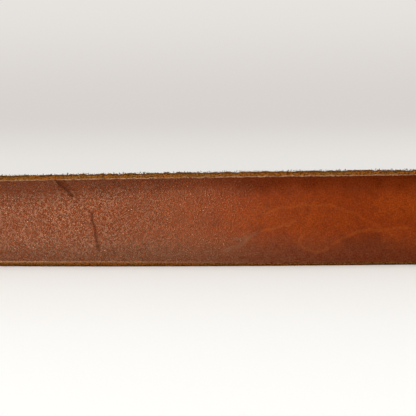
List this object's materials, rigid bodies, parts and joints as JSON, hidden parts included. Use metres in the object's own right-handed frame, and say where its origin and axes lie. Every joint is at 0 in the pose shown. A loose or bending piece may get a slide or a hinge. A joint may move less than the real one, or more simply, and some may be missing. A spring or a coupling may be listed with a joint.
{
  "type": "money belt",
  "caption": "Leather belt with a prong buckle, keepers, punched tongue and a slim zipped pocket hidden on the inside of the strap.",
  "frame": {"origin": "centre of the belt's outline seen from above, on the surface it stands on", "axes": "+X along the loop's long side towards the buckle end, -Y towards the grain face of the front curve with the pocket behind it, +Z across the strap's width, up"},
  "size_m": [0.4292, 0.2828, 0.048],
  "materials": {
    "strap_leather": "antiqued pebbled grain, waxed, raw bevelled edges",
    "lining_leather": "unfinished natural lining",
    "zip_tape_cloth": "woven tape",
    "zip_coil_nylon": "satin coil",
    "seam_thread": "waxed thread",
    "aged_brass": "aged, softly worn",
    "plated_steel": "plated"
  },
  "bodies": {
    "strap": {"front_strap": "strap_leather", "pocket_panel": "lining_leather", "window_stitching": "seam_thread", "zip_tape_upper": "zip_tape_cloth", "zip_tape_lower": "zip_tape_cloth", "zip_coil_upper": "zip_coil_nylon", "zip_coil_lower": "zip_coil_nylon", "zip_top_stop_upper": "aged_brass", "zip_top_stop_lower": "aged_brass", "zip_bottom_stop": "aged_brass", "fixed_keeper": "strap_leather", "screw_post_1": "aged_brass", "screw_post_2": "aged_brass", "fold_screw_1": "aged_brass", "fold_screw_2": "aged_brass"},
    "tongue": {"strap_tongue": "strap_leather"},
    "buckle": {"buckle_frame": "aged_brass", "buckle_bar": "plated_steel"},
    "prong": {"prong": "aged_brass"},
    "loose_keeper": {"loose_keeper": "strap_leather", "keeper_staple": "plated_steel"},
    "slider": {"slider_body": "aged_brass"},
    "pull_tab": {"pull_tab": "aged_brass"}
  },
  "joints": [
    {"name": "buckle_swing", "type": "hinge", "parent": "strap", "child": "buckle", "pos_m": [0.20448, 0.09721, 0.025], "axis": [0, 0, -1], "range_deg": [-100, 45]},
    {"name": "prong_swing", "type": "hinge", "parent": "buckle", "child": "prong", "pos_m": [0.20448, 0.09721, 0.025], "axis": [0, 0, -1], "range_deg": [0, 92]},
    {"name": "keeper_slide", "type": "slide", "parent": "strap", "child": "loose_keeper", "axis": [0, 1, 0], "range_m": [-0.027, 0.0112]},
    {"name": "slider_travel", "type": "hinge", "parent": "strap", "child": "slider", "pos_m": [0.00246, 0.16159, 0.019], "axis": [0, 0, -1], "range_deg": [0, 55.39]},
    {"name": "pull_tab_swing", "type": "hinge", "parent": "slider", "child": "pull_tab", "pos_m": [0.13831, -0.09931, 0.019], "axis": [0, 0, -1], "range_deg": [0, 176]},
    {"name": "tongue_flex", "type": "hinge", "parent": "strap", "child": "tongue", "pos_m": [-0.12255, 0.10523, 0.019], "axis": [0, 0, -1], "range_deg": [-30, 40], "stiffness_Nm_per_rad": 0.05}
  ]
}
